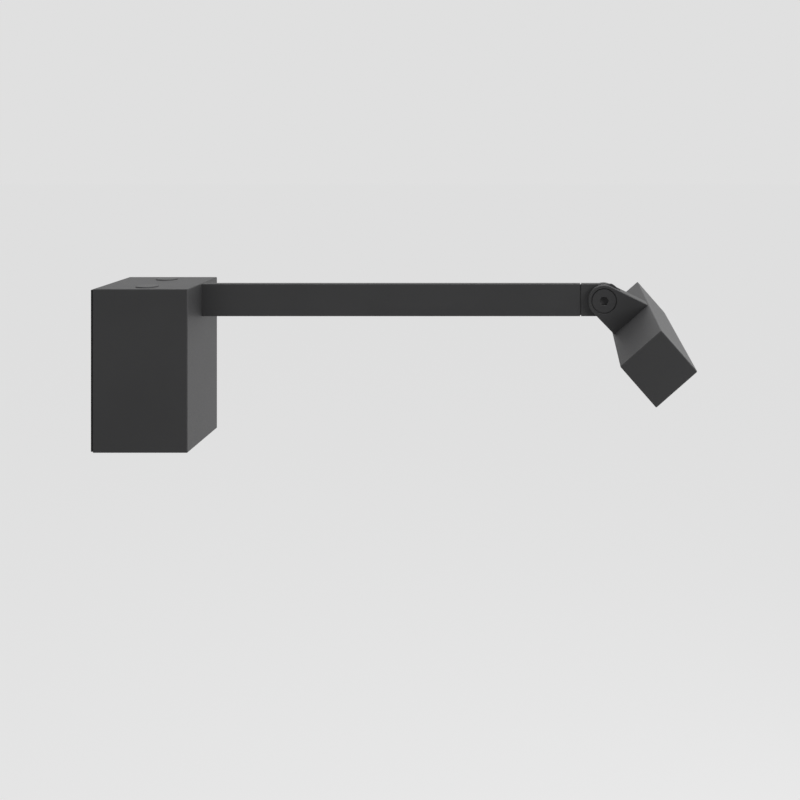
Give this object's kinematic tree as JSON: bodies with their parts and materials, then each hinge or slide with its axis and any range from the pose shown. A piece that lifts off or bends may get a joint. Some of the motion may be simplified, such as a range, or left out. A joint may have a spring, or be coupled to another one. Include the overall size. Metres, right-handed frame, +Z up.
{
  "type": "pivoting spotlight wall light",
  "caption": "Wall light with a square box and downlight, a slim flat arm and a square-section spotlight head that tilts about a pivot screw; push buttons on top.",
  "frame": {"origin": "on the wall, midway between the wall plate's two fixing slots", "axes": "+X out from the wall along the arm, +Z up, +Y along the wall"},
  "size_m": [0.3618, 0.208, 0.1006],
  "materials": {
    "dark_coat": "matt fine-textured powder coat",
    "button_coat": "matt fine-textured powder coat",
    "zinc_steel": "zinc plated",
    "bright_aluminium": "spun and anodised bright",
    "plain_aluminium": "mill finish",
    "black_rubber": "matt",
    "white_plastic": "matt moulded",
    "black_plastic": "matt moulded",
    "brass": "turned",
    "opal_glass": "etched opal",
    "white_board": "solder resist",
    "light_source": "phosphor under silicone",
    "lead_sheath": "satin"
  },
  "bodies": {
    "wall_unit": {"wall_plate": "dark_coat", "cable_grommet": "black_rubber", "terminal_block": "white_plastic", "terminal_screws": "brass", "earth_screw": "zinc_steel", "housing": "dark_coat", "bezel": "dark_coat", "housing_screws": "dark_coat", "bezel_screws": "dark_coat", "downlight_lens": "opal_glass", "downlight_reflector": "bright_aluminium", "downlight_board": "white_board", "downlight_chip": "light_source", "downlight_heat_sink": "plain_aluminium", "downlight_screws": "zinc_steel", "led_driver": "white_plastic", "driver_screws": "zinc_steel", "button_carrier": "black_plastic", "carrier_screws": "zinc_steel", "switch_downlight": "black_plastic", "switch_spot": "black_plastic", "arm_root_bracket": "zinc_steel", "arm_root_screws": "zinc_steel", "arm_profile": "dark_coat", "arm_knuckle": "dark_coat", "arm_lead": "lead_sheath", "pivot_bush": "brass", "pivot_lead": "lead_sheath"},
    "head": {"head_bracket": "dark_coat", "bracket_screws": "zinc_steel", "head_housing": "dark_coat", "end_cap_near": "dark_coat", "end_cap_far": "dark_coat", "head_lens": "opal_glass", "head_reflector": "white_plastic", "head_board": "white_board", "head_leds": "light_source", "head_screws": "zinc_steel", "head_rail": "plain_aluminium", "head_lead": "lead_sheath", "friction_washers": "zinc_steel", "pivot_screw": "dark_coat", "pivot_nut": "zinc_steel"},
    "downlight_button": {"button_downlight": "button_coat"},
    "spot_button": {"button_spot": "button_coat"}
  },
  "joints": [
    {"name": "head_tilt", "type": "hinge", "parent": "wall_unit", "child": "head", "pos_m": [0.3142, 0, 0.0394], "axis": [0, -1, 0], "range_deg": [-8, 82], "deforming": ["pivot_lead"]},
    {"name": "press_downlight", "type": "slide", "parent": "wall_unit", "child": "downlight_button", "axis": [0, 0, -1], "range_m": [0, 0.0012], "stiffness_N_per_m": 500, "springref_m": -0.002},
    {"name": "press_spot", "type": "slide", "parent": "wall_unit", "child": "spot_button", "axis": [0, 0, -1], "range_m": [0, 0.0012], "stiffness_N_per_m": 500, "springref_m": -0.002}
  ]
}
